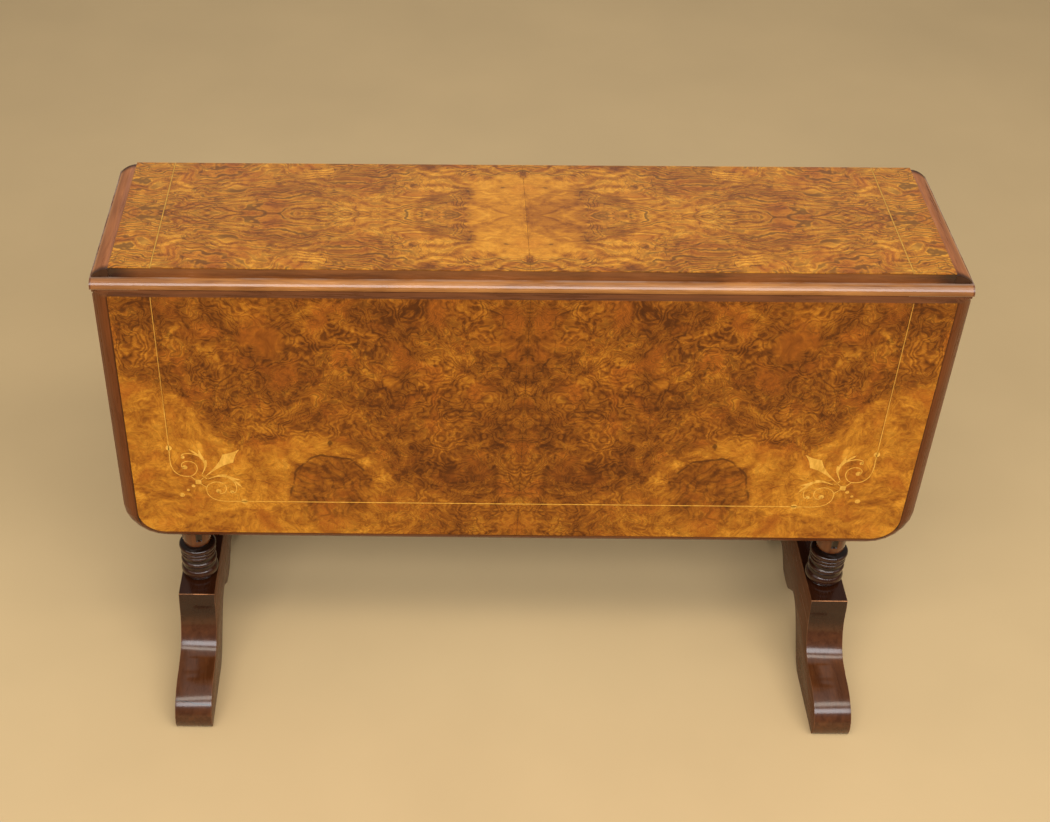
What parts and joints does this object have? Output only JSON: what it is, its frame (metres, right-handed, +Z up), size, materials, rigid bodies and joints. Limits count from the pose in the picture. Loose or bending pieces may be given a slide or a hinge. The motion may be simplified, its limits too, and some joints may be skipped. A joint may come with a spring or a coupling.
{
  "type": "sutherland table",
  "caption": "Narrow veneered table with two deep drop leaves on rule joints, paired turned columns on shaped trestle feet and swing brackets under the top.",
  "frame": {"origin": "floor level below the middle of the table", "axes": "+X along the table's length, +Y from the front leaf to the rear leaf, +Z up"},
  "size_m": [1.014, 0.4916, 0.66],
  "materials": {
    "burr_walnut": "french polished burr veneer",
    "walnut_moulding": "polished solid walnut",
    "boxwood": "polished stringing",
    "stained_walnut": "dark polished, worn edges",
    "brass": "aged"
  },
  "bodies": {
    "table_frame": {"top_board": "walnut_moulding", "top_end_moulding_left": "walnut_moulding", "top_end_moulding_right": "walnut_moulding", "top_veneer_front_left": "burr_walnut", "top_veneer_front_right": "burr_walnut", "top_veneer_rear_left": "burr_walnut", "top_veneer_rear_right": "burr_walnut", "top_string_left": "boxwood", "top_string_right": "boxwood", "top_band_left": "burr_walnut", "top_band_right": "burr_walnut", "left_foot": "stained_walnut", "left_front_column": "stained_walnut", "left_rear_column": "stained_walnut", "left_bearer": "stained_walnut", "left_cross_rail": "stained_walnut", "right_foot": "stained_walnut", "right_front_column": "stained_walnut", "right_rear_column": "stained_walnut", "right_bearer": "stained_walnut", "right_cross_rail": "stained_walnut", "stretcher": "stained_walnut", "front_rail": "stained_walnut", "front_fly_block": "stained_walnut", "front_fly_pin": "brass", "front_hinge_left_top_plate": "brass", "front_hinge_left_pin": "brass", "front_hinge_right_top_plate": "brass", "front_hinge_right_pin": "brass", "rear_rail": "stained_walnut", "rear_fly_block": "stained_walnut", "rear_fly_pin": "brass", "rear_hinge_left_top_plate": "brass", "rear_hinge_left_pin": "brass", "rear_hinge_right_top_plate": "brass", "rear_hinge_right_pin": "brass"},
    "front_leaf_body": {"front_leaf": "walnut_moulding", "front_leaf_veneer_left": "burr_walnut", "front_leaf_veneer_right": "burr_walnut", "front_leaf_string_left": "boxwood", "front_leaf_string_right": "boxwood", "front_leaf_band_left": "burr_walnut", "front_leaf_band_right": "burr_walnut", "front_leaf_string_bottom": "boxwood", "front_leaf_band_bottom": "burr_walnut", "front_hinge_left_leaf_plate": "brass", "front_hinge_right_leaf_plate": "brass"},
    "rear_leaf_body": {"rear_leaf": "walnut_moulding", "rear_leaf_veneer_left": "burr_walnut", "rear_leaf_veneer_right": "burr_walnut", "rear_leaf_string_left": "boxwood", "rear_leaf_string_right": "boxwood", "rear_leaf_band_left": "burr_walnut", "rear_leaf_band_right": "burr_walnut", "rear_leaf_string_bottom": "boxwood", "rear_leaf_band_bottom": "burr_walnut", "rear_hinge_left_leaf_plate": "brass", "rear_hinge_right_leaf_plate": "brass"},
    "front_fly_body": {"front_fly_bracket": "stained_walnut"},
    "rear_fly_body": {"rear_fly_bracket": "stained_walnut"}
  },
  "joints": [
    {"name": "front_leaf_lift", "type": "hinge", "parent": "table_frame", "child": "front_leaf_body", "pos_m": [0, -0.1164, 0.6358], "axis": [-1, 0, 0], "range_deg": [0, 90]},
    {"name": "rear_leaf_lift", "type": "hinge", "parent": "table_frame", "child": "rear_leaf_body", "pos_m": [0, 0.1164, 0.6358], "axis": [1, 0, 0], "range_deg": [0, 90]},
    {"name": "front_fly_swing", "type": "hinge", "parent": "table_frame", "child": "front_fly_body", "pos_m": [0.1, -0.0848, 0.6358], "axis": [0, 0, 1], "range_deg": [0, 5]},
    {"name": "rear_fly_swing", "type": "hinge", "parent": "table_frame", "child": "rear_fly_body", "pos_m": [-0.1, 0.0848, 0.6358], "axis": [0, 0, 1], "range_deg": [0, 5]}
  ]
}
